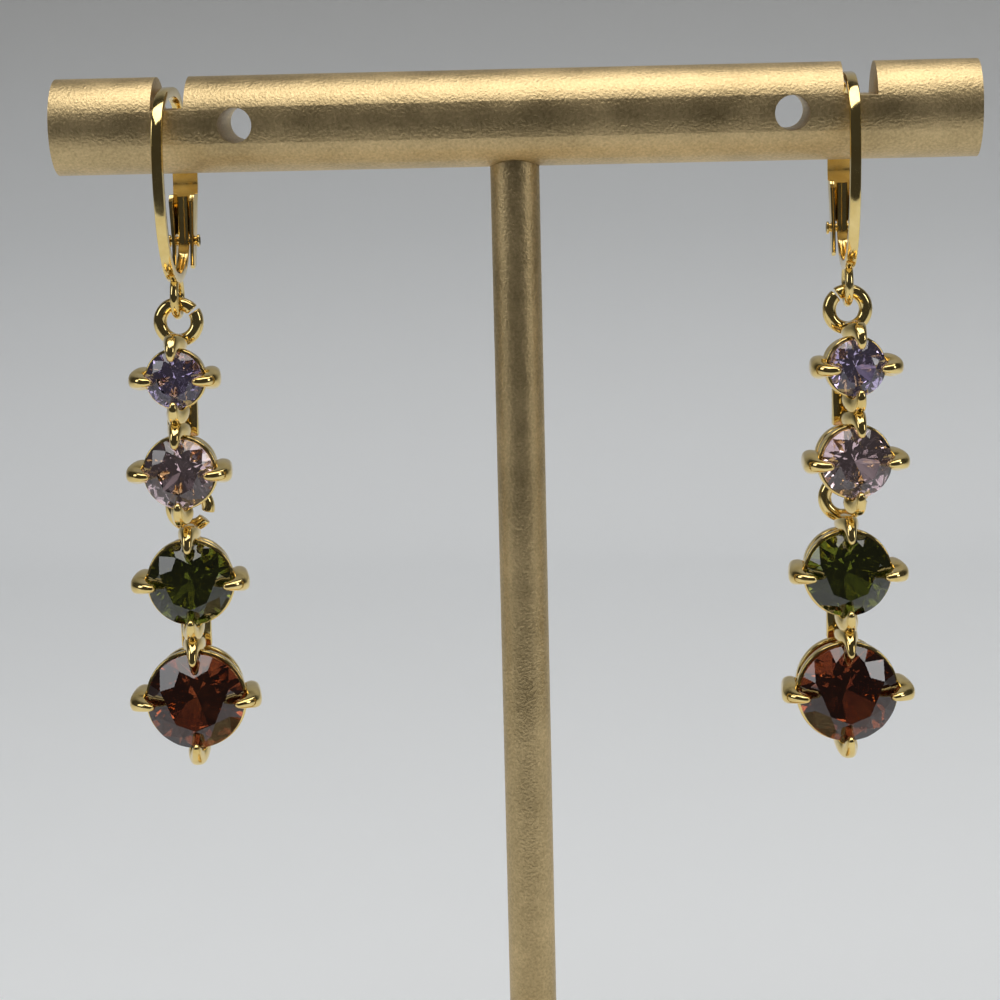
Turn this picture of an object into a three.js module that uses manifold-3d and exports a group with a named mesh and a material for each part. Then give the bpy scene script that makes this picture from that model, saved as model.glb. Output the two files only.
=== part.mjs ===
// A pair of lever-back drop earrings, four claw-set stones each, hanging on a small T-bar stand.
// Millimetres, +Z up, the front of the earrings towards -Y. The origin is the middle of the base's underside.
import * as THREE from "three";
import { mergeVertices } from "three/addons/utils/BufferGeometryUtils.js";
import { ConvexGeometry } from "three/addons/geometries/ConvexGeometry.js";
import Module from "manifold-3d";

const wasm = await Module();
wasm.setup();

// Stand: a round base, a post and a cross bar that the ear hooks sit on.
const BASE_RADIUS = 22;
const BASE_HEIGHT = 5;
const BASE_EDGE = 0.8;
const BAR_AXIS_HEIGHT = 92;
const BAR_RADIUS = 3.35;
const BAR_LENGTH = 64;
const BAR_CHAMFER = 0.2;
const POST_RADIUS = 1.72;
const POST_TENON = 1.5;
const FIT_GAP = 0.06;
const SLOT_OFFSET = 23.75;
const SLOT_WIDTH = 2.3;
const SLOT_FLOOR = 1.1;
const HOLE_OFFSET = 19.1;
const HOLE_RADIUS = 1.2;

// Ear hook and lever, seen from the side: y runs to the back, z up from the bar's axis.
const WIRE_WIDTH = 0.75;
const WIRE_DEPTH = 0.7;
const WIRE_CORNER = 0.14;
const LOOP_WIRE_RADIUS = 0.3;
const LOOP_RADIUS = 1.35;
const LOOP_CENTRE = -12;
const PIVOT = { y: 4, z: -8.4 };
const PIN_RADIUS = 0.3;
const PIN_BORE_RADIUS = 0.37;
const LEVER_HALF_WIDTH = 0.9;
const LEVER_WALL = 0.3;
const LEVER_PLATE = 0.35;
const RIVET_HEAD = 0.18;
const RIVET_OVERHANG = 0.15;

// Rings that link the drops.
const RING_WIRE_RADIUS = 0.48;
const RING_RADIUS = 1.31;
const EYE_WIRE_RADIUS = 0.3;
const EYE_RADIUS = 0.9;
const LINK_GAP = 0.05;
const LOWER_LINK_BACK = 1.15;
const RING_OPENING = 0.55;
const EYE_BELOW_PINK = 1.8;

// Stones and the claw settings around them: level is the stone's z from the bar's axis, and front the y of
// its girdle from the ring that its drop hangs by.
const STONES = {
  lavender: { radius: 2, level: -17.6, front: -2.9, color: 0x9c86cf },
  pink: { radius: 2.5, level: -24.3, front: -2.9, color: 0xc79aa6 },
  green: { radius: 3, level: -32.5, front: -3.05, color: 0x3c4c14 },
  garnet: { radius: 3.5, level: -41.2, front: -3.05, color: 0x5a2018 },
};
const SEAT_GAP = 0.05;
const CLAW_REACH = 1.12;
const CLAW_WIDTH = 0.95;
const CLAW_THICKNESS = 0.86;
const CLAW_CORNER = 0.2;
const CLAW_BACK_INSET = 0.2;
const SHORT_CLAW = 0.45;
const GALLERY_WIRE_RADIUS = 0.34;
const GALLERY_INSET = { upper: 0.1, lower: 0.35 };
const SETTING_DEPTH = { least: 1.25, perRadius: 0.7 };
const STRIP_WIDTH = 2.2;
const STRIP_THICKNESS = 0.6;
const STRIP_OVERLAP = 0.2;

// Brilliant cut, as shares of the girdle radius.
const CUT = { table: 0.57, star: 0.763, crown: 0.3, girdle: 0.05, lowerHalf: 0.23, pavilion: 0.87 };

// Each side: where its hook sits in its slot, and how far its loosely linked drops are turned, in degrees.
const SIDES = [
  { name: "left", slot: -SLOT_OFFSET, shift: -0.4, upperTurn: 0, lowerTurn: 5, openRing: true },
  { name: "right", slot: SLOT_OFFSET, shift: -0.6, upperTurn: 9, lowerTurn: 3, openRing: false },
];

const STAND_GOLD = { color: 0xb48a4e, metalness: 1, roughness: 0.42 };
const POLISHED_GOLD = { color: 0xe0b13c, metalness: 1, roughness: 0.15 };

// ---- helpers ----

function solid(geometry) {
  const bare = geometry.index ? geometry.toNonIndexed() : geometry.clone();
  bare.deleteAttribute("normal");
  bare.deleteAttribute("uv");
  const merged = mergeVertices(bare, 1e-4);
  const vertProperties = merged.attributes.position.array;
  const triVerts = new Uint32Array(merged.index.array);
  return new wasm.Manifold(new wasm.Mesh({ numProp: 3, vertProperties, triVerts }));
}

function union(geometries) {
  return geometries.map(solid).reduce((whole, next) => whole.add(next));
}

function geometryOf(body) {
  const mesh = body.getMesh();
  const geometry = new THREE.BufferGeometry();
  geometry.setAttribute("position", new THREE.BufferAttribute(mesh.vertProperties, 3));
  geometry.setIndex(new THREE.BufferAttribute(mesh.triVerts, 1));
  return geometry;
}

function node(name, geometry, look) {
  const mesh = new THREE.Mesh(geometry, new THREE.MeshStandardMaterial(look));
  mesh.name = name;
  return mesh;
}

function box(size, centre) {
  return new THREE.BoxGeometry(...size).translate(...centre);
}

// A round bar along x, y or z through a centre.
function rod(radius, length, axis, centre, sides = 24) {
  const geometry = new THREE.CylinderGeometry(radius, radius, length, sides);
  if (axis === "x") geometry.rotateZ(Math.PI / 2);
  if (axis === "z") geometry.rotateX(Math.PI / 2);
  return geometry.translate(...centre);
}

// A wire ring: plane "xz" faces the viewer, plane "yz" is seen edge on.
function wireRing(radius, wire, plane, centre, sides = 8, steps = 18) {
  const geometry = new THREE.TorusGeometry(radius, wire, sides, steps);
  if (plane === "xz") geometry.rotateX(Math.PI / 2);
  if (plane === "yz") geometry.rotateY(Math.PI / 2);
  return geometry.translate(...centre);
}

// A rounded section, width across and depth along the path's own normal.
function roundedSection(width, depth, corner) {
  const section = new THREE.Shape();
  const w = width / 2;
  const d = depth / 2;
  section.moveTo(-w + corner, -d);
  section.lineTo(w - corner, -d);
  section.lineTo(w, -d + corner);
  section.lineTo(w, d - corner);
  section.lineTo(w - corner, d);
  section.lineTo(-w + corner, d);
  section.lineTo(-w, d - corner);
  section.lineTo(-w, -d + corner);
  section.closePath();
  return section;
}

function sweep(section, points, steps) {
  const path = new THREE.CatmullRomCurve3(points.map(([y, z]) => new THREE.Vector3(0, y, z)));
  return new THREE.ExtrudeGeometry(section, { steps, extrudePath: path, bevelEnabled: false });
}

// A plate with a side outline in y and z, of a given thickness, centred on x.
function sidePlate(outline, x, thickness) {
  const shape = new THREE.Shape(outline.map(([y, z]) => new THREE.Vector2(y, z)));
  const geometry = new THREE.ExtrudeGeometry(shape, { depth: thickness, bevelEnabled: false });
  const toSide = new THREE.Matrix4().set(0, 0, 1, 0, 1, 0, 0, 0, 0, 1, 0, 0, 0, 0, 0, 1);
  return geometry.applyMatrix4(toSide).translate(x - thickness / 2, 0, 0);
}

// ---- stand ----

function standBase() {
  const e = BASE_EDGE;
  const profile = [
    [0, 0],
    [BASE_RADIUS - e / 2, 0],
    [BASE_RADIUS, e / 2],
    [BASE_RADIUS, BASE_HEIGHT - e],
    [BASE_RADIUS - 0.3 * e, BASE_HEIGHT - 0.3 * e],
    [BASE_RADIUS - e, BASE_HEIGHT],
    [0, BASE_HEIGHT],
  ].map(([r, z]) => new THREE.Vector2(r, z));
  const disc = new THREE.LatheGeometry(profile, 48).rotateX(Math.PI / 2);
  const socket = rod(POST_RADIUS + FIT_GAP, 2 * POST_TENON, "z", [0, 0, BASE_HEIGHT]);
  return geometryOf(solid(disc).subtract(solid(socket)));
}

function standPost() {
  const foot = BASE_HEIGHT - POST_TENON + FIT_GAP;
  const head = BAR_AXIS_HEIGHT - BAR_RADIUS + POST_TENON - FIT_GAP;
  return rod(POST_RADIUS, head - foot, "z", [0, 0, (head + foot) / 2]);
}

function standBar() {
  const half = BAR_LENGTH / 2;
  const profile = [
    [0, -half],
    [BAR_RADIUS - BAR_CHAMFER, -half],
    [BAR_RADIUS, -half + BAR_CHAMFER],
    [BAR_RADIUS, half - BAR_CHAMFER],
    [BAR_RADIUS - BAR_CHAMFER, half],
    [0, half],
  ].map(([r, x]) => new THREE.Vector2(r, x));
  let bar = solid(new THREE.LatheGeometry(profile, 40).rotateZ(-Math.PI / 2));
  for (const side of [-1, 1]) {
    const slotCentre = [side * SLOT_OFFSET, 0, SLOT_FLOOR + BAR_RADIUS];
    bar = bar.subtract(solid(box([SLOT_WIDTH, 3 * BAR_RADIUS, 2 * BAR_RADIUS], slotCentre)));
    bar = bar.subtract(solid(rod(HOLE_RADIUS, 3 * BAR_RADIUS, "y", [side * HOLE_OFFSET, 0, 0])));
  }
  const socket = rod(POST_RADIUS + FIT_GAP, 2 * POST_TENON, "z", [0, 0, -BAR_RADIUS]);
  bar = bar.subtract(solid(socket));
  return geometryOf(bar).translate(0, 0, BAR_AXIS_HEIGHT);
}

// ---- ear hook and lever ----

// The hook's wire, from its tip behind the bar, over the bar, down the front and up to the lever's pivot.
const HOOK_ROUTE = [
  [5.1, -3.2],
  [5.0, -1.2],
  [4.15, 0.95],
  [2.3, 2.05],
  [0, 2.3],
  [-2.4, 2.0],
  [-4.4, 0.8],
  [-5.25, -1.6],
  [-5.25, -4.6],
  [-4.5, -7.6],
  [-2.8, -9.8],
  [-0.6, -10.65],
  [1.4, -10.5],
  [3.2, -9.6],
  [4.0, -8.4],
  [4.2, -6.9],
  [4.2, -5.2],
];

function earHook() {
  const wire = sweep(roundedSection(WIRE_DEPTH, WIRE_WIDTH, WIRE_CORNER), HOOK_ROUTE, 40);
  const loop = wireRing(LOOP_RADIUS, LOOP_WIRE_RADIUS, "yz", [0, 0, LOOP_CENTRE]);
  const span = 2 * (LEVER_HALF_WIDTH + LINK_GAP);
  const pin = rod(PIN_RADIUS, span + 2 * RIVET_HEAD, "x", [0, PIVOT.y, PIVOT.z], 16);
  const parts = [wire, loop, pin];
  for (const side of [-1, 1]) {
    const x = side * (span / 2 + RIVET_HEAD / 2);
    parts.push(rod(PIN_RADIUS + RIVET_OVERHANG, RIVET_HEAD, "x", [x, PIVOT.y, PIVOT.z], 16));
  }
  return geometryOf(union(parts));
}

// A channel that straddles the hook's rear end below, and a plain plate behind the hook's tip above.
function lever() {
  const plateFace = [
    [5.55, -1.6],
    [5.55, -4.4],
    [4.72, -8.0],
  ];
  const plateBack = plateFace.map(([y, z]) => [y + LEVER_PLATE, z]).reverse();
  const plate = sidePlate([...plateFace, ...plateBack], 0, 2 * LEVER_HALF_WIDTH);
  const cheek = [
    [5.6, -5.1],
    [3.75, -5.1],
    [3.35, -5.5],
    [3.3, -8.6],
    [3.1, -10.1],
    [3.4, -10.35],
    [4.1, -10.2],
    [4.75, -8.9],
    [5.05, -8.0],
    [5.7, -5.1],
  ];
  const parts = [plate];
  for (const side of [-1, 1]) {
    parts.push(sidePlate(cheek, side * (LEVER_HALF_WIDTH - LEVER_WALL / 2), LEVER_WALL));
  }
  const bore = rod(PIN_BORE_RADIUS, 4 * LEVER_HALF_WIDTH, "x", [0, PIVOT.y, PIVOT.z], 16);
  return geometryOf(union(parts).subtract(solid(bore)));
}

// ---- stones ----

function ringOfPoints(count, radius, height, turn) {
  return Array.from({ length: count }, (_, i) => {
    const angle = ((i + turn) * 2 * Math.PI) / count;
    return new THREE.Vector3(radius * Math.cos(angle), height, radius * Math.sin(angle));
  });
}

// A round brilliant with its table towards -Y and its girdle's top edge at y 0.
function brilliant(radius) {
  const lean = Math.cos(Math.PI / 8);
  const starHeight = (CUT.crown * (1 - CUT.star * lean)) / (1 - CUT.table);
  const halfDepth = CUT.girdle + CUT.pavilion * (1 - CUT.lowerHalf * lean);
  const r = radius;
  const points = [
    ...ringOfPoints(8, CUT.table * r, -CUT.crown * r, 0),
    ...ringOfPoints(8, CUT.star * r, -starHeight * r, 0.5),
    ...ringOfPoints(16, r, 0, 0),
    ...ringOfPoints(16, r, CUT.girdle * r, 0),
    ...ringOfPoints(8, CUT.lowerHalf * r, halfDepth * r, 0.5),
    new THREE.Vector3(0, (CUT.girdle + CUT.pavilion) * r, 0),
  ];
  return new ConvexGeometry(points);
}

// The space that a stone takes, with the seat gap all round, for cutting its setting.
function stoneSpace(radius) {
  const g = SEAT_GAP;
  const profile = [
    [0, -CUT.crown * radius - g],
    [CUT.table * radius + g, -CUT.crown * radius - g],
    [radius + g, -g],
    [radius + g, CUT.girdle * radius + g],
    [0, (CUT.girdle + CUT.pavilion) * radius + 2 * g],
  ].map(([r, y]) => new THREE.Vector2(r, y));
  return new THREE.LatheGeometry(profile, 20);
}

// ---- settings ----

function settingDepth(radius) {
  return SETTING_DEPTH.least + SETTING_DEPTH.perRadius * radius;
}

// One claw, made in its own y-z plane with the stone's centre at the origin and +z outwards.
function claw(radius, back) {
  const outer = radius + CLAW_REACH - CLAW_THICKNESS / 2;
  const route = [
    [back, radius + 0.34],
    [back * 0.5, radius + 0.42],
    [0.35, outer],
    [-0.3, outer - 0.06],
    [-0.78, outer - 0.42],
    [-0.3 - 0.3 * radius, radius - 0.42],
  ];
  return sweep(roundedSection(CLAW_WIDTH, CLAW_THICKNESS, CLAW_CORNER), route, 7);
}

// Two gallery rings and four claws round one stone, without the space for the stone.
function basket(stone, shortClaw = false) {
  const { radius, level, front } = stone;
  const depth = settingDepth(radius);
  const slope = Math.atan(CUT.pavilion);
  const wire = GALLERY_WIRE_RADIUS;
  const upper = CUT.girdle * radius + Math.tan(slope) * ((wire + SEAT_GAP) / Math.sin(slope) + GALLERY_INSET.upper);
  const parts = [
    wireRing(radius - GALLERY_INSET.upper, wire, "xz", [0, upper, 0], 6, 20),
    wireRing(radius - GALLERY_INSET.lower, wire, "xz", [0, depth, 0], 6, 20),
  ];
  for (let i = 0; i < 4; i++) {
    const isBottom = i === 2;
    const back = isBottom && shortClaw ? depth * SHORT_CLAW : depth - CLAW_BACK_INSET;
    parts.push(claw(radius, back).rotateY((i * Math.PI) / 2));
  }
  return parts.map((part) => part.translate(0, front, level));
}

function strip(above, below) {
  const top = above.level - above.radius + STRIP_OVERLAP;
  const bottom = below.level + below.radius - STRIP_OVERLAP;
  const y = (above.front + settingDepth(above.radius) + below.front + settingDepth(below.radius)) / 2;
  return box([STRIP_WIDTH, STRIP_THICKNESS, top - bottom], [0, y, (top + bottom) / 2]);
}

function withStoneSpaces(body, stones) {
  return stones.reduce((rest, stone) => {
    const space = stoneSpace(stone.radius).translate(0, stone.front, stone.level);
    return rest.subtract(solid(space));
  }, body);
}

// The upper ring hangs on the hook's loop, and the lower ring on the upper setting's eye.
const UPPER_RING_LEVEL =
  LOOP_CENTRE - LOOP_RADIUS + LOOP_WIRE_RADIUS + LINK_GAP - (RING_RADIUS - RING_WIRE_RADIUS);
const EYE_LEVEL = STONES.pink.level - EYE_BELOW_PINK;
const LOWER_RING_LEVEL =
  EYE_LEVEL - EYE_RADIUS + EYE_WIRE_RADIUS + LINK_GAP - (RING_RADIUS - RING_WIRE_RADIUS);

// Where the cut ends of a loosely closed jump ring leave a gap, on its right.
function ringGap(level) {
  const reach = 2 * RING_WIRE_RADIUS + 0.2;
  return box([reach, reach, RING_OPENING], [RING_RADIUS, 0, level]);
}

function upperSetting() {
  const { lavender, pink } = STONES;
  const parts = [
    ...basket(lavender),
    ...basket(pink, true),
    strip(lavender, pink),
    wireRing(RING_RADIUS, RING_WIRE_RADIUS, "xz", [0, 0, UPPER_RING_LEVEL]),
    wireRing(EYE_RADIUS, EYE_WIRE_RADIUS, "yz", [0, LOWER_LINK_BACK, EYE_LEVEL]),
  ];
  return geometryOf(withStoneSpaces(union(parts), [lavender, pink]));
}

function lowerSetting(openRing) {
  const { green, garnet } = STONES;
  const parts = [
    ...basket(green),
    ...basket(garnet),
    strip(green, garnet),
    wireRing(RING_RADIUS, RING_WIRE_RADIUS, "xz", [0, 0, LOWER_RING_LEVEL]),
  ];
  const body = withStoneSpaces(union(parts), [green, garnet]);
  if (!openRing) return geometryOf(body);
  return geometryOf(body.subtract(solid(ringGap(LOWER_RING_LEVEL))));
}

function stoneNode(side, kind) {
  const { radius, level, front, color } = STONES[kind];
  const look = { color, metalness: 0, roughness: 0.05 };
  const mesh = node(`${side}_${kind}_stone`, brilliant(radius), look);
  mesh.position.set(0, front, level);
  return mesh;
}

// A drop's pieces in one group, whose origin is on its ring and which is turned about the vertical.
function drop(turnDeg, back, meshes) {
  const group = new THREE.Group();
  group.position.y = back;
  group.rotation.z = THREE.MathUtils.degToRad(turnDeg);
  group.add(...meshes);
  return group;
}

// ---- assembly ----

function earring(side) {
  const lowerDrop = drop(side.lowerTurn - side.upperTurn, LOWER_LINK_BACK, [
    node(`${side.name}_lower_setting`, lowerSetting(side.openRing), POLISHED_GOLD),
    stoneNode(side.name, "green"),
    stoneNode(side.name, "garnet"),
  ]);
  const upperDrop = drop(side.upperTurn, 0, [
    node(`${side.name}_upper_setting`, upperSetting(), POLISHED_GOLD),
    stoneNode(side.name, "lavender"),
    stoneNode(side.name, "pink"),
    lowerDrop,
  ]);
  const group = new THREE.Group();
  group.position.set(side.slot + side.shift, 0, BAR_AXIS_HEIGHT);
  group.add(node(`${side.name}_ear_hook`, earHook(), POLISHED_GOLD));
  group.add(node(`${side.name}_lever`, lever(), POLISHED_GOLD));
  group.add(upperDrop);
  return group;
}

const root = new THREE.Group();
root.add(node("stand_base", standBase(), STAND_GOLD));
root.add(node("stand_post", standPost(), STAND_GOLD));
root.add(node("stand_bar", standBar(), STAND_GOLD));
root.add(...SIDES.map(earring));

export default root;
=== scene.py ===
"""A pair of lever-back drop earrings on a small T-bar stand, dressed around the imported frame. Metres."""
import math

import bpy
from mathutils import Matrix, Vector


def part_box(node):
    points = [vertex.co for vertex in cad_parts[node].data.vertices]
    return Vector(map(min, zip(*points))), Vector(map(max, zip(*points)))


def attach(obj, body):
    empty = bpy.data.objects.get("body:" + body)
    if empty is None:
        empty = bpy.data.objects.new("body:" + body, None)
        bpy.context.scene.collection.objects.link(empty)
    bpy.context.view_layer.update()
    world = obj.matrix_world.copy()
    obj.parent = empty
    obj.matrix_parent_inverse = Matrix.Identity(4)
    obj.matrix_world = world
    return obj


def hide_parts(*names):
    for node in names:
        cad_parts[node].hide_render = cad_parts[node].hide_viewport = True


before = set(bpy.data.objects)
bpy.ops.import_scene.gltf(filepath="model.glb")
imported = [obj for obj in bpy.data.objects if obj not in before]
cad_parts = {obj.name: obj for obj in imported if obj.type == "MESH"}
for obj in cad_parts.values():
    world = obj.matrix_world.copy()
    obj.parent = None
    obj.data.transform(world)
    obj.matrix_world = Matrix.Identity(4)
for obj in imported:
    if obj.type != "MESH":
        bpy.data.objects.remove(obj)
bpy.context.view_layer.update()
MM = 0.001


def box_of(node):
    low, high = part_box(node)
    return Vector(low), Vector(high)


def middle(node):
    low, high = box_of(node)
    return (low + high) / 2


# ---- sizes, in metres ----

BAR_LOW, BAR_HIGH = box_of("stand_bar")
BAR_AXIS = middle("stand_bar")
BAR_RADIUS = (BAR_HIGH.z - BAR_LOW.z) / 2
BAR_LENGTH = BAR_HIGH.x - BAR_LOW.x
SLOT_OFFSET = 23.75 * MM
SLOT_WIDTH = 2.3 * MM
SLOT_FLOOR = 1.1 * MM
HOLE_OFFSET = 19.1 * MM
HOLE_RADIUS = 1.2 * MM
POST_LOW, POST_HIGH = box_of("stand_post")
POST_RADIUS = (POST_HIGH.x - POST_LOW.x) / 2
BASE_LOW, BASE_HIGH = box_of("stand_base")

WIRE_WIDTH = 0.75 * MM
WIRE_DEPTH = 0.7 * MM
LOOP_WIRE = 0.3 * MM
LOOP_RADIUS = 1.35 * MM
LOOP_LEVEL = -12 * MM
PIVOT_BACK = 4 * MM
PIVOT_LEVEL = -8.4 * MM
RING_WIRE = 0.48 * MM
RING_RADIUS = 1.31 * MM
UPPER_RING_LEVEL = -13.83 * MM
EYE_WIRE = 0.3 * MM
EYE_RADIUS = 0.9 * MM
EYE_LEVEL = -26.1 * MM
LINK_BACK = 1.15 * MM
LOWER_RING_LEVEL = -27.48 * MM

CLAW_WIDTH = 0.98 * MM
CLAW_THICKNESS = 0.8 * MM
CLAW_REACH = 0.95 * MM
BAND_WIDTH = 0.7 * MM
BAND_THICKNESS = 0.55 * MM
STRIP_WIDTH = 2.2 * MM
STRIP_THICKNESS = 0.6 * MM
SEAT_GAP = 0.05 * MM

# Brilliant cut, as shares of the girdle radius.
TABLE, STAR, CROWN, GIRDLE, LOWER_HALF, PAVILION = 0.57, 0.763, 0.3, 0.05, 0.23, 0.87

# The hook's wire from its tip over the bar, down the front and up to the rivet: back, up, in millimetres.
HOOK_ROUTE = [
    (5.1, -3.2), (5.0, -1.2), (4.15, 0.95), (2.3, 2.05), (0, 2.3), (-2.4, 2.0), (-4.4, 0.8), (-5.25, -1.6),
    (-5.25, -4.6), (-4.5, -7.6), (-2.8, -9.8), (-0.6, -10.65), (1.4, -10.5), (3.2, -9.6), (4.0, -8.4),
    (4.2, -6.9), (4.2, -5.2),
]

# Each side: how far its upper and lower drops are turned about the vertical, in degrees.
SIDES = {
    "left": {"x": middle("left_ear_hook").x, "upper": 0, "lower": 5},
    "right": {"x": middle("right_ear_hook").x, "upper": 9, "lower": 3},
}


class Stone:
    """One stone's size and place in its own drop: level above the bar's axis, front from its ring."""

    def __init__(self, kind, front):
        low, high = box_of("left_" + kind + "_stone")
        self.radius = (high.z - low.z) / 2
        self.level = (high.z + low.z) / 2 - BAR_AXIS.z
        self.front = front
        self.depth = 1.25 * MM + 0.7 * self.radius


STONES = {
    "lavender": Stone("lavender", -2.9 * MM),
    "pink": Stone("pink", -2.9 * MM),
    "green": Stone("green", -3.05 * MM),
    "garnet": Stone("garnet", -3.05 * MM),
}


# ---- modelling helpers ----

def only(*pieces):
    """Selects just these objects, the last one active."""
    if bpy.context.mode != "OBJECT":
        bpy.ops.object.mode_set(mode="OBJECT")
    bpy.ops.object.select_all(action="DESELECT")
    for piece in pieces:
        piece.select_set(True)
    bpy.context.view_layer.objects.active = pieces[-1]


def edit(piece, kind="FACE", where=None):
    """Opens a piece in edit mode with the elements selected whose middle passes the test, or all of them."""
    only(piece)
    bpy.ops.object.mode_set(mode="EDIT")
    bpy.ops.mesh.select_mode(type=kind)
    bpy.ops.mesh.select_all(action="SELECT" if where is None else "DESELECT")
    if where is None:
        return
    bpy.ops.object.mode_set(mode="OBJECT")
    mesh = piece.data
    if kind == "FACE":
        for face in mesh.polygons:
            face.select = where(face.center)
    elif kind == "EDGE":
        for edge in mesh.edges:
            ends = [mesh.vertices[i].co for i in edge.vertices]
            edge.select = where((ends[0] + ends[1]) / 2)
    else:
        for vertex in mesh.vertices:
            vertex.select = where(vertex.co)
    bpy.ops.object.mode_set(mode="EDIT")


def done(piece):
    """Leaves edit mode with the faces of a closed shape turned outwards."""
    bpy.ops.mesh.select_all(action="SELECT")
    bpy.ops.mesh.remove_doubles(threshold=1e-7)
    bpy.ops.mesh.normals_make_consistent(inside=False)
    bpy.ops.object.mode_set(mode="OBJECT")
    return piece


def fresh(name):
    """The primitive just added, named, with its place in its mesh."""
    piece = bpy.context.object
    piece.name = name
    piece.data.name = name
    bpy.ops.object.transform_apply(location=True, rotation=True, scale=True)
    return piece


def apply_modifier(piece, kind, **settings):
    only(piece)
    modifier = piece.modifiers.new(kind.lower(), kind)
    for key, value in settings.items():
        setattr(modifier, key, value)
    if kind == "SUBSURF":
        modifier.render_levels = modifier.levels
    bpy.ops.object.modifier_apply(modifier=modifier.name)


def cut(piece, cutter, operation="DIFFERENCE"):
    apply_modifier(piece, "BOOLEAN", object=cutter, operation=operation, solver="EXACT")
    bpy.data.objects.remove(cutter)


def smooth(piece, degrees=35):
    only(piece)
    bpy.ops.object.shade_smooth_by_angle(angle=math.radians(degrees))


def joined(name, pieces):
    only(*pieces)
    bpy.ops.object.join()
    whole = bpy.context.object
    whole.name = name
    whole.data.name = name
    return whole


def copied(piece, name, matrix):
    """A copy with its own mesh, moved by a matrix that ends up in the mesh."""
    twin = piece.copy()
    twin.data = piece.data.copy()
    twin.name = name
    twin.data.name = name
    bpy.context.collection.objects.link(twin)
    twin.matrix_world = matrix
    only(twin)
    bpy.ops.object.transform_apply(location=True, rotation=True, scale=True)
    return twin


def cylinder(name, radius, length, axis, centre, sides=96):
    turn = {"x": (0, math.pi / 2, 0), "y": (math.pi / 2, 0, 0), "z": (0, 0, 0)}[axis]
    bpy.ops.mesh.primitive_cylinder_add(
        vertices=sides, radius=radius, depth=length, location=centre, rotation=turn)
    return fresh(name)


def block(name, size, centre):
    bpy.ops.mesh.primitive_cube_add(size=1, location=centre, scale=size)
    return fresh(name)


def torus(name, radius, wire, facing, centre, around=72, across=20):
    """A wire ring that faces along y, or along x."""
    turn = {"y": (math.pi / 2, 0, 0), "x": (0, math.pi / 2, 0)}[facing]
    bpy.ops.mesh.primitive_torus_add(
        major_radius=radius, minor_radius=wire, major_segments=around, minor_segments=across,
        location=centre, rotation=turn)
    return fresh(name)


def curve_points(route, per_span):
    """A smooth Catmull-Rom course through a route's points, with their headings in the y-z plane."""
    points = [Vector((0, y * MM, z * MM)) for y, z in route]
    course = []
    for i in range(len(points) - 1):
        a = points[max(i - 1, 0)]
        b, c = points[i], points[i + 1]
        d = points[min(i + 2, len(points) - 1)]
        for k in range(per_span):
            t = k / per_span
            course.append(0.5 * (2 * b + (c - a) * t + (2 * a - 5 * b + 4 * c - d) * t * t
                                 + (3 * b - a - 3 * c + d) * t ** 3))
    course.append(points[-1])
    headings = []
    for i in range(len(course)):
        step = course[min(i + 1, len(course) - 1)] - course[max(i - 1, 0)]
        headings.append(math.atan2(-step.y, step.z))
    return course, headings


def swept(name, width, depth, corner, route, per_span, scales=None):
    """A bar of rounded section, extruded step by step along a course in the y-z plane."""
    course, headings = curve_points(route, per_span)
    bpy.ops.mesh.primitive_plane_add(size=1, location=course[0], rotation=(headings[0], 0, 0))
    bpy.context.object.scale = (width, depth, 1)
    piece = fresh(name)
    edit(piece, "VERT")
    bpy.ops.mesh.bevel(offset=corner, segments=2, affect="VERTICES")
    bpy.ops.mesh.select_mode(type="FACE")
    bpy.ops.mesh.select_all(action="SELECT")
    for i in range(1, len(course)):
        bpy.ops.mesh.extrude_region_move(TRANSFORM_OT_translate={"value": course[i] - course[i - 1]})
        turn = headings[i] - headings[i - 1]
        turn = math.atan2(math.sin(turn), math.cos(turn))
        bpy.ops.transform.rotate(value=-turn, orient_axis="X", center_override=course[i])
        if scales:
            across, through = (scales[i][k] / scales[i - 1][k] for k in (0, 1))
            bpy.ops.transform.resize(value=(across, through, through), center_override=course[i])
    return done(piece)


# ---- finishes ----

def new_group(name, inputs, outputs):
    """A shader node group with named sockets: inputs as name, kind and value, outputs as name and kind."""
    tree = bpy.data.node_groups.new(name, "ShaderNodeTree")
    for label, kind, value in inputs:
        socket = tree.interface.new_socket(label, in_out="INPUT", socket_type=kind)
        if value is not None:
            socket.default_value = value
    for label, kind in outputs:
        tree.interface.new_socket(label, in_out="OUTPUT", socket_type=kind)
    return tree, tree.nodes.new("NodeGroupInput"), tree.nodes.new("NodeGroupOutput")


def add(tree, kind, **settings):
    made = tree.nodes.new(kind)
    for key, value in settings.items():
        if key in made.inputs:
            made.inputs[key].default_value = value
        else:
            setattr(made, key, value)
    return made


def noise(tree, vector, scale, detail=3.0, roughness=0.55):
    made = tree.nodes.new("ShaderNodeTexNoise")
    made.inputs["Detail"].default_value = detail
    made.inputs["Roughness"].default_value = roughness
    if hasattr(scale, "is_output"):
        tree.links.new(scale, made.inputs["Scale"])
    else:
        made.inputs["Scale"].default_value = scale
    tree.links.new(vector, made.inputs["Vector"])
    return made.outputs["Fac"]


def spread(tree, value, low, high, to_low, to_high):
    """Maps a value's useful range to another range, clamped."""
    made = tree.nodes.new("ShaderNodeMapRange")
    for label, number in (("From Min", low), ("From Max", high), ("To Min", to_low), ("To Max", to_high)):
        if hasattr(number, "is_output"):
            tree.links.new(number, made.inputs[label])
        else:
            made.inputs[label].default_value = number
    tree.links.new(value, made.inputs["Value"])
    return made.outputs["Result"]


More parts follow.
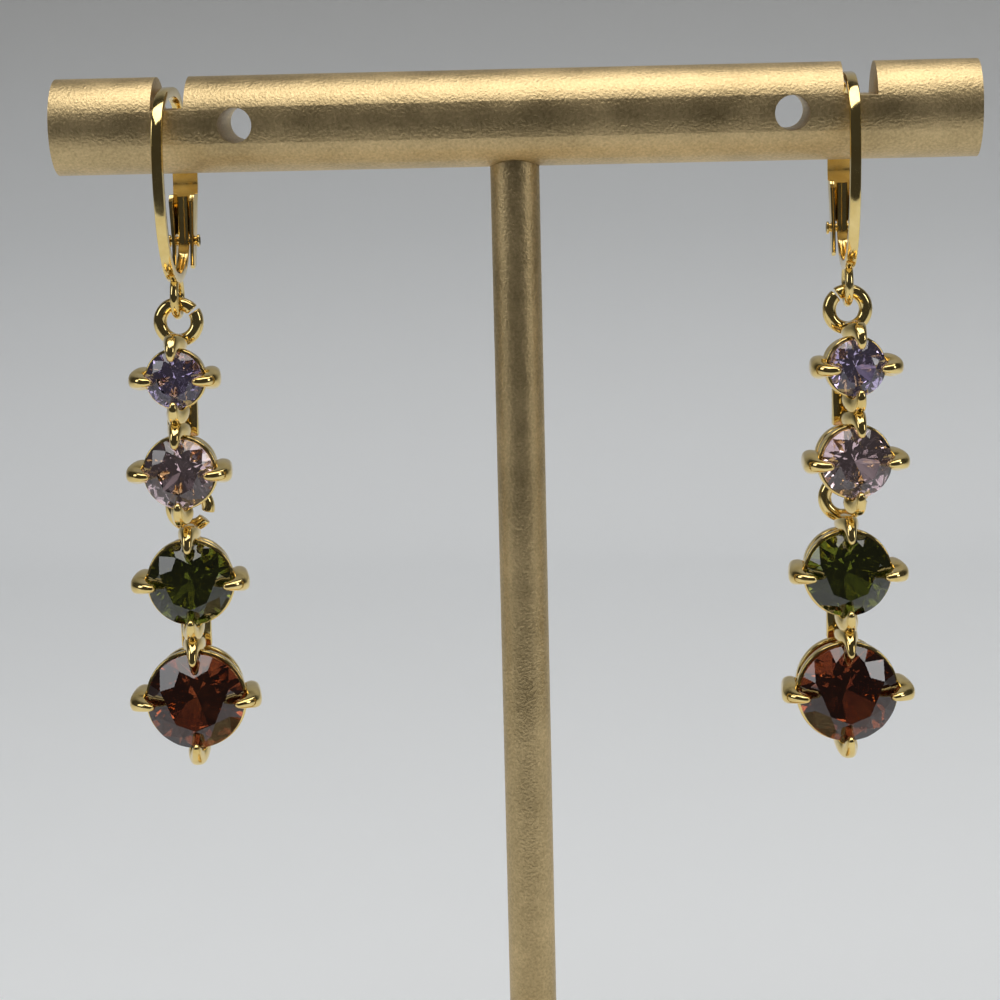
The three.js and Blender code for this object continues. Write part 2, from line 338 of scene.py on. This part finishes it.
def mixed(tree, factor, first, second):
    made = tree.nodes.new("ShaderNodeMix")
    made.data_type = "RGBA"
    tree.links.new(factor, made.inputs["Factor"])
    for label, colour in ((6, first), (7, second)):
        if hasattr(colour, "is_output"):
            tree.links.new(colour, made.inputs[label])
        else:
            made.inputs[label].default_value = colour
    return made.outputs[2]


def metal_skin_group():
    """Mottled colour, uneven gloss and a fine skin of bumps for a worked metal surface."""
    tree, given, out = new_group(
        "metal_skin",
        [("Vector", "NodeSocketVector", None), ("Light Colour", "NodeSocketColor", (1, 1, 1, 1)),
         ("Dark Colour", "NodeSocketColor", (0.5, 0.5, 0.5, 1)), ("Grain Scale", "NodeSocketFloat", 2000.0),
         ("Cloud Scale", "NodeSocketFloat", 150.0), ("Least Roughness", "NodeSocketFloat", 0.1),
         ("Most Roughness", "NodeSocketFloat", 0.3), ("Bump", "NodeSocketFloat", 0.1)],
        [("Colour", "NodeSocketColor"), ("Roughness", "NodeSocketFloat"), ("Normal", "NodeSocketVector")])
    vector = given.outputs["Vector"]
    grain = noise(tree, vector, given.outputs["Grain Scale"], 2.0)
    cloud = noise(tree, vector, given.outputs["Cloud Scale"], 4.0)
    both = tree.nodes.new("ShaderNodeMath")
    both.operation = "ADD"
    tree.links.new(grain, both.inputs[0])
    tree.links.new(cloud, both.inputs[1])
    factor = spread(tree, both.outputs[0], 0.7, 1.3, 0.0, 1.0)
    colour = mixed(tree, factor, given.outputs["Dark Colour"], given.outputs["Light Colour"])
    rough = spread(tree, cloud, 0.3, 0.7, given.outputs["Least Roughness"], given.outputs["Most Roughness"])
    bump = add(tree, "ShaderNodeBump", Distance=0.00005)
    tree.links.new(given.outputs["Bump"], bump.inputs["Strength"])
    tree.links.new(grain, bump.inputs["Height"])
    tree.links.new(colour, out.inputs["Colour"])
    tree.links.new(rough, out.inputs["Roughness"])
    tree.links.new(bump.outputs["Normal"], out.inputs["Normal"])
    return tree


METAL_SKIN = metal_skin_group()


def new_material(name):
    material = bpy.data.materials.new(name)
    material.use_nodes = True
    tree = material.node_tree
    tree.nodes.clear()
    shader = tree.nodes.new("ShaderNodeBsdfPrincipled")
    out = tree.nodes.new("ShaderNodeOutputMaterial")
    tree.links.new(shader.outputs["BSDF"], out.inputs["Surface"])
    place = tree.nodes.new("ShaderNodeTexCoord").outputs["Object"]
    return material, tree, shader, place


def metal(name, light, dark, grain, cloud, least, most, bump):
    material, tree, shader, place = new_material(name)
    skin = tree.nodes.new("ShaderNodeGroup")
    skin.node_tree = METAL_SKIN
    tree.links.new(place, skin.inputs["Vector"])
    values = {"Light Colour": light, "Dark Colour": dark, "Grain Scale": grain, "Cloud Scale": cloud,
              "Least Roughness": least, "Most Roughness": most, "Bump": bump}
    for label, value in values.items():
        skin.inputs[label].default_value = value
    shader.inputs["Metallic"].default_value = 1.0
    tree.links.new(skin.outputs["Colour"], shader.inputs["Base Color"])
    tree.links.new(skin.outputs["Roughness"], shader.inputs["Roughness"])
    tree.links.new(skin.outputs["Normal"], shader.inputs["Normal"])
    return material


def gem(name, deep, pale, cloud, ior):
    """Clear coloured glass with faint zoning of its colour."""
    material, tree, shader, place = new_material(name)
    zoning = spread(tree, noise(tree, place, cloud, 2.0), 0.35, 0.65, 0.0, 1.0)
    tree.links.new(mixed(tree, zoning, deep, pale), shader.inputs["Base Color"])
    polish = spread(tree, noise(tree, place, 3000.0), 0.4, 0.7, 0.0, 0.012)
    tree.links.new(polish, shader.inputs["Roughness"])
    shader.inputs["Transmission Weight"].default_value = 1.0
    shader.inputs["Metallic"].default_value = 0.0
    shader.inputs["IOR"].default_value = ior
    return material


STAND_GOLD = metal("stand_gold", (0.72, 0.555, 0.30, 1), (0.44, 0.33, 0.165, 1), 5200.0, 260.0, 0.39, 0.48, 0.9)
POLISHED_GOLD = metal(
    "polished_gold", (0.93, 0.73, 0.32, 1), (0.82, 0.60, 0.22, 1), 1400.0, 420.0, 0.05, 0.16, 0.12)
GEMS = {
    "lavender": gem("lavender_stone", (0.52, 0.40, 0.78, 1), (0.72, 0.61, 0.92, 1), 500.0, 1.8),
    "pink": gem("pink_stone", (0.82, 0.56, 0.63, 1), (0.93, 0.73, 0.78, 1), 500.0, 1.8),
    "green": gem("green_stone", (0.085, 0.105, 0.010, 1), (0.17, 0.19, 0.018, 1), 400.0, 1.76),
    "garnet": gem("garnet_stone", (0.12, 0.020, 0.009, 1), (0.28, 0.065, 0.018, 1), 400.0, 1.76),
}


def dress(piece, material, body, slot, *nodes):
    """Gives a finished piece its material and its body, and hides the frame nodes it stands for. The slot is not
    used.
    """
    piece.data.materials.clear()
    piece.data.materials.append(material)
    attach(piece, body)
    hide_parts(*nodes)


# ---- stand ----

def make_bar():
    bar = cylinder("satin_cross_bar", BAR_RADIUS, BAR_LENGTH, "x", BAR_AXIS, 160)
    for side in (-1, 1):
        centre = BAR_AXIS + Vector((side * SLOT_OFFSET, 0, SLOT_FLOOR + BAR_RADIUS))
        cut(bar, block("slot", (SLOT_WIDTH, 3 * BAR_RADIUS, 2 * BAR_RADIUS), centre))
        centre = BAR_AXIS + Vector((side * HOLE_OFFSET, 0, 0))
        cut(bar, cylinder("hole", HOLE_RADIUS, 3 * BAR_RADIUS, "y", centre, 64))
    socket = BAR_AXIS - Vector((0, 0, BAR_RADIUS))
    cut(bar, cylinder("socket", POST_RADIUS + 0.06 * MM, 3 * MM, "z", socket, 96))
    apply_modifier(bar, "BEVEL", width=0.14 * MM, segments=3, angle_limit=math.radians(50))
    smooth(bar)
    dress(bar, STAND_GOLD, "stand", "stand_gold", "stand_bar")


def make_post():
    centre = (POST_LOW + POST_HIGH) / 2
    post = cylinder("satin_post", POST_RADIUS, POST_HIGH.z - POST_LOW.z, "z", centre, 96)
    apply_modifier(post, "BEVEL", width=0.15 * MM, segments=3, angle_limit=math.radians(50))
    smooth(post)
    dress(post, STAND_GOLD, "stand", "stand_gold", "stand_post")


def make_base():
    radius = (BASE_HIGH.x - BASE_LOW.x) / 2
    height = BASE_HIGH.z - BASE_LOW.z
    base = cylinder("satin_round_base", radius, height, "z", (BASE_LOW + BASE_HIGH) / 2, 192)
    cut(base, cylinder("socket", POST_RADIUS + 0.06 * MM, 3 * MM, "z", (0, 0, height), 96))
    edit(base, "EDGE", lambda at: at.z > height * 0.99 and math.hypot(at.x, at.y) > radius * 0.9)
    bpy.ops.mesh.bevel(offset=0.8 * MM, segments=6)
    done(base)
    apply_modifier(base, "BEVEL", width=0.15 * MM, segments=2, angle_limit=math.radians(50))
    smooth(base)
    dress(base, STAND_GOLD, "stand", "stand_gold", "stand_base")


# ---- ear hook and lever, round the bar's axis at x 0 ----

def make_hook():
    wire = swept("wire", WIRE_WIDTH, WIRE_DEPTH, 0.12 * MM, HOOK_ROUTE, 6)
    loop = torus("loop", LOOP_RADIUS, LOOP_WIRE, "x", (0, 0, LOOP_LEVEL))
    pin = cylinder("pin", 0.3 * MM, 2.26 * MM, "x", (0, PIVOT_BACK, PIVOT_LEVEL), 32)
    parts = [wire, loop, pin]
    for side in (-1, 1):
        centre = (side * 1.04 * MM, PIVOT_BACK, PIVOT_LEVEL)
        head = cylinder("rivet_head", 0.45 * MM, 0.18 * MM, "x", centre, 32)
        apply_modifier(head, "BEVEL", width=0.06 * MM, segments=3)
        parts.append(head)
    return joined("hook", parts)


def make_lever():
    """A cleaned copy of the frame's lever, narrowed towards its rivet, with its edges softened."""
    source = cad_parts["left_lever"]
    lever_centre = Matrix.Translation(Vector((-SIDES["left"]["x"], 0, -BAR_AXIS.z)))
    lever = copied(source, "lever_model", lever_centre)
    edit(lever)
    bpy.ops.mesh.remove_doubles(threshold=1e-6)
    bpy.ops.mesh.dissolve_limited(angle_limit=math.radians(2))
    done(lever)
    for share, level in ((0.93, -5.6 * MM), (0.93, -7.2 * MM)):
        edit(lever, "VERT", lambda at: at.z < level and at.y > 3.0 * MM)
        bpy.ops.transform.resize(value=(share, 1, 1), center_override=(0, PIVOT_BACK, level))
        bpy.ops.object.mode_set(mode="OBJECT")
    apply_modifier(lever, "BEVEL", width=0.07 * MM, segments=3, angle_limit=math.radians(40))
    smooth(lever)
    return lever


# ---- links ----

def open_ring(name, level, start_deg, gap_deg, spring):
    """A jump ring spun from one cut end to the other, the end sprung a little out of line."""
    bpy.ops.mesh.primitive_circle_add(
        vertices=20, radius=RING_WIRE, fill_type="NGON", location=(RING_RADIUS, 0, level))
    ring = fresh(name)
    edit(ring)
    turn = math.radians(360 - gap_deg)
    bpy.ops.mesh.spin(steps=60, angle=turn, center=(0, 0, level), axis=(0, 1, 0))
    done(ring)
    apply_modifier(ring, "BEVEL", width=0.07 * MM, segments=3, angle_limit=math.radians(60))
    for vertex in ring.data.vertices:
        angle = math.atan2(vertex.co.z - level, vertex.co.x)
        if -math.pi / 2 < angle < 0:
            vertex.co.y += spring * (1 + angle / (math.pi / 2))
    only(ring)
    ring.matrix_world = (Matrix.Translation((0, 0, level)) @ Matrix.Rotation(math.radians(start_deg), 4, "Y")
                         @ Matrix.Translation((0, 0, -level)))
    bpy.ops.object.transform_apply(location=True, rotation=True, scale=True)
    return ring


# ---- settings ----

# A claw's width and thickness along its course from its round back to its beak, as shares of the full size.
CLAW_SHARES = [
    (0.6, 0.55), (0.95, 0.92), (1.0, 1.0), (0.98, 1.0), (0.9, 1.0), (0.78, 0.96), (0.66, 0.9), (0.56, 0.82),
    (0.48, 0.72), (0.4, 0.58), (0.22, 0.32),
]


def make_claw(stone, back):
    """One claw in the y-z plane, with the stone's centre at the origin and the claw above it."""
    radius = stone.radius / MM
    back = back / MM
    outer = radius + (CLAW_REACH - CLAW_THICKNESS / 2) / MM
    route = [
        (back, radius + 0.34), (back * 0.5, radius + 0.42), (0.35, outer), (-0.3, outer - 0.02),
        (-0.86, outer - 0.46), (-0.34 - 0.3 * radius, radius - 0.62),
    ]
    claw = swept("claw", CLAW_WIDTH, CLAW_THICKNESS, 0.3 * MM, route, 2, CLAW_SHARES)
    apply_modifier(claw, "SUBSURF", levels=2)
    return claw


def band(radius, width, thickness, y):
    """A flat gallery band round the y axis, spun from its rounded section."""
    bpy.ops.mesh.primitive_plane_add(size=1, location=(radius, y, 0))
    bpy.context.object.scale = (thickness, width, 1)
    ring = fresh("band")
    edit(ring, "VERT")
    bpy.ops.mesh.bevel(offset=0.12 * MM, segments=3, affect="VERTICES")
    bpy.ops.mesh.select_all(action="SELECT")
    bpy.ops.mesh.delete(type="ONLY_FACE")
    bpy.ops.mesh.select_all(action="SELECT")
    bpy.ops.mesh.spin(steps=96, angle=2 * math.pi, center=(0, y, 0), axis=(0, 1, 0))
    return done(ring)


def basket(stone, short_claw=False):
    """Two gallery bands and four claws round one stone, in its drop's own place."""
    slope = math.atan(PAVILION)
    half = BAND_WIDTH / 2
    upper = GIRDLE * stone.radius + SEAT_GAP / math.cos(slope) + PAVILION * (0.1 * MM + BAND_THICKNESS / 2) + half
    parts = [
        band(stone.radius - 0.1 * MM, BAND_WIDTH, BAND_THICKNESS, upper),
        band(stone.radius - 0.45 * MM, BAND_WIDTH, BAND_THICKNESS, stone.depth),
    ]
    for quarter in range(4):
        back = stone.depth * 0.45 if short_claw and quarter == 2 else stone.depth - 0.2 * MM
        claw = make_claw(stone, back)
        claw.matrix_world = Matrix.Rotation(quarter * math.pi / 2, 4, "Y")
        only(claw)
        bpy.ops.object.transform_apply(location=True, rotation=True, scale=True)
        parts.append(claw)
    whole = joined("basket", parts)
    whole.location = (0, stone.front, stone.level)
    only(whole)
    bpy.ops.object.transform_apply(location=True, rotation=True, scale=True)
    return whole


def back_strip(above, below):
    top = above.level - above.radius + 0.2 * MM
    bottom = below.level + below.radius - 0.2 * MM
    y = (above.front + above.depth + below.front + below.depth) / 2
    strip = block("strip", (STRIP_WIDTH, STRIP_THICKNESS, top - bottom), (0, y, (top + bottom) / 2))
    apply_modifier(strip, "BEVEL", width=0.1 * MM, segments=3)
    return strip


def upper_setting(ring_start):
    lavender, pink = STONES["lavender"], STONES["pink"]
    parts = [
        basket(lavender), basket(pink, True), back_strip(lavender, pink),
        open_ring("ring", UPPER_RING_LEVEL, ring_start, 7, 0.16 * MM),
        torus("eye", EYE_RADIUS, EYE_WIRE, "x", (0, LINK_BACK, EYE_LEVEL), 48, 16),
    ]
    return joined("upper_setting_model", parts)


def lower_setting(gap):
    green, garnet = STONES["green"], STONES["garnet"]
    parts = [
        basket(green), basket(garnet), back_strip(green, garnet),
        open_ring("ring", LOWER_RING_LEVEL, gap / 2, gap, 0.0),
    ]
    return joined("lower_setting_model", parts)


# ---- stones ----

def polar(radius, height, degrees):
    angle = math.radians(degrees)
    return Vector((radius * math.cos(angle), height, radius * math.sin(angle)))


def grind(stone, first, second, third):
    """Cuts one flat facet through three points and closes it."""
    normal = (second - first).cross(third - first).normalized()
    if normal.dot(first) < 0:
        normal = -normal
    bpy.ops.mesh.select_all(action="SELECT")
    bpy.ops.mesh.bisect(plane_co=first, plane_no=normal, use_fill=True, clear_outer=True)


def make_brilliant():
    """A round brilliant of radius 1, table towards -y, ground facet by facet from a round blank."""
    lean = math.cos(math.pi / 8)
    star_height = CROWN * (1 - STAR * lean) / (1 - TABLE)
    half_depth = GIRDLE + PAVILION * (1 - LOWER_HALF * lean)
    culet = Vector((0, GIRDLE + PAVILION, 0))
    deep = GIRDLE + PAVILION + 0.1
    blank = cylinder("brilliant_model", 1.0, deep + CROWN, "y", (0, (deep - CROWN) / 2, 0), 96)
    edit(blank)
    for k in range(8):
        main = 45 * k
        tip = polar(STAR, -star_height, main + 22.5)
        table_a, table_b = polar(TABLE, -CROWN, main), polar(TABLE, -CROWN, main + 45)
        grind(blank, table_a, table_b, tip)
        grind(blank, table_a, tip, polar(1, 0, main))
        between = polar(1, 0, main + 22.5)
        grind(blank, tip, polar(1, 0, main), between)
        grind(blank, tip, polar(1, 0, main + 45), between)
        low_tip = polar(LOWER_HALF, half_depth, main + 22.5)
        grind(blank, culet, low_tip, polar(1, GIRDLE, main))
        between = polar(1, GIRDLE, main + 22.5)
        grind(blank, low_tip, polar(1, GIRDLE, main), between)
        grind(blank, low_tip, polar(1, GIRDLE, main + 45), between)
    bpy.ops.mesh.select_all(action="SELECT")
    bpy.ops.mesh.remove_doubles(threshold=1e-4)
    bpy.ops.mesh.normals_make_consistent(inside=False)
    bpy.ops.object.mode_set(mode="OBJECT")
    return blank


# ---- assembly ----

def drop_place(side, drop):
    """Where a drop's own frame stands: on its ring, turned about the vertical."""
    upper = math.radians(side["upper"])
    place = Matrix.Translation((side["x"], 0, BAR_AXIS.z)) @ Matrix.Rotation(upper, 4, "Z")
    if drop == "lower":
        turn = math.radians(side["lower"]) - upper
        place = place @ Matrix.Translation((0, LINK_BACK, 0)) @ Matrix.Rotation(turn, 4, "Z")
    return place


def make_earrings():
    hook = make_hook()
    smooth(hook)
    lever = make_lever()
    brilliant = make_brilliant()
    for name, side in SIDES.items():
        stand = Matrix.Translation((side["x"], 0, BAR_AXIS.z))
        dress(copied(hook, name + "_ear_wire", stand), POLISHED_GOLD, "stand", "polished_gold",
              name + "_ear_hook")
        dress(copied(lever, name + "_lever_back", stand), POLISHED_GOLD, name + "_lever", "polished_gold",
              name + "_lever")
        settings = {
            "upper": (upper_setting(-40 if name == "left" else -130), ("lavender", "pink")),
            "lower": (lower_setting(26 if name == "left" else 6), ("green", "garnet")),
        }
        for drop, (model, kinds) in settings.items():
            place = drop_place(side, drop)
            body = name + "_" + drop + "_drop"
            smooth(model, 40)
            piece = copied(model, name + "_" + drop + "_claws", place)
            dress(piece, POLISHED_GOLD, body, "polished_gold", name + "_" + drop + "_setting")
            bpy.data.objects.remove(model)
            for kind in kinds:
                stone = STONES[kind]
                spot = place @ Matrix.Translation((0, stone.front, stone.level)) @ Matrix.Scale(
                    stone.radius, 4)
                cutstone = copied(brilliant, name + "_" + kind + "_brilliant", spot)
                dress(cutstone, GEMS[kind], body, kind + "_stone", name + "_" + kind + "_stone")
    for model in (hook, lever, brilliant):
        bpy.data.objects.remove(model)


# ---- stage, light and camera ----

def make_stage():
    """A pale floor that curves up into a backdrop, its colour painted darker up the wall as painted shade."""
    bpy.ops.mesh.primitive_plane_add(size=1, location=(0, 0.085, 0))
    bpy.context.object.scale = (2.4, 0.51, 1)
    floor = fresh("pale_floor")
    edit(floor, "EDGE", lambda at: at.y > 0.33)
    bpy.ops.mesh.extrude_region_move(TRANSFORM_OT_translate={"value": (0, 0.02, 0.7)})
    done(floor)
    edit(floor, "EDGE", lambda at: abs(at.y - 0.34) < 0.001 and at.z < 0.001)
    bpy.ops.mesh.bevel(offset=0.06, segments=24)
    bpy.ops.object.mode_set(mode="OBJECT")
    smooth(floor, 60)
    material, tree, shader, place = new_material("pale_paper_with_painted_shade")
    split = tree.nodes.new("ShaderNodeSeparateXYZ")
    tree.links.new(place, split.inputs[0])
    # Painted shade: the paper's colour goes from pale on the floor to grey up the wall, standing in for the light
    # falling off.
    painted_wall_shade = spread(tree, split.outputs["Z"], 0.0, 0.11, 0.0, 1.0)
    paper = mixed(tree, painted_wall_shade, (0.89, 0.92, 0.95, 1), (0.44, 0.445, 0.445, 1))
    tree.links.new(paper, shader.inputs["Base Color"])
    tree.links.new(spread(tree, noise(tree, place, 90.0), 0.3, 0.7, 0.75, 0.9), shader.inputs["Roughness"])
    floor.data.materials.append(material)


def area_light(name, place, target, size, energy, colour=(1, 1, 1)):
    bpy.ops.object.light_add(type="AREA", location=place)
    light = bpy.context.object
    light.name = name
    light.data.shape = "RECTANGLE"
    light.data.size, light.data.size_y = size
    light.data.energy = energy
    light.data.color = colour
    light.rotation_euler = (Vector(target) - Vector(place)).to_track_quat("-Z", "Y").to_euler()


def make_light():
    world = bpy.data.worlds.new("dim_room")
    bpy.context.scene.world = world
    world.use_nodes = True
    world.node_tree.nodes["Background"].inputs["Color"].default_value = (0.50, 0.49, 0.47, 1)
    world.node_tree.nodes["Background"].inputs["Strength"].default_value = 0.09
    aim = (0, 0, BAR_AXIS.z - 0.02)
    area_light("ceiling_panel", (0.03, -0.06, 0.50), aim, (0.60, 0.40), 2.1, (1.0, 0.98, 0.95))
    area_light("window_left", (-0.45, -0.20, 0.30), aim, (0.16, 0.30), 0.35, (0.95, 0.97, 1.0))
    area_light("window_right", (0.50, -0.25, 0.25), aim, (0.10, 0.25), 0.3)
    bpy.context.scene.view_settings.view_transform = "Standard"


# The lens sees the bar a little from above and from its right.
CAMERA_FROM_BAR = Vector((6.2, -172.8, 5.4)) * MM
CAMERA_YAW, CAMERA_PITCH, CAMERA_ROLL = 2.58, 10.63, 1.37
LENS = 88.4


def make_camera():
    yaw, pitch, roll = (math.radians(a) for a in (CAMERA_YAW, CAMERA_PITCH, CAMERA_ROLL))
    turn = Matrix.Rotation(yaw, 3, "Z") @ Matrix.Rotation(math.pi / 2 - pitch, 3, "X")
    turn = turn @ Matrix.Rotation(-roll, 3, "Z")
    bpy.ops.object.camera_add(location=BAR_AXIS + CAMERA_FROM_BAR, rotation=turn.to_euler())
    camera = bpy.context.object
    camera.name = "viewpoint"
    camera.data.lens = LENS
    camera.data.sensor_width = 36
    camera.data.clip_start = 0.005
    bpy.context.scene.camera = camera


make_camera()
make_bar()
make_post()
make_base()
make_earrings()
make_stage()
make_light()
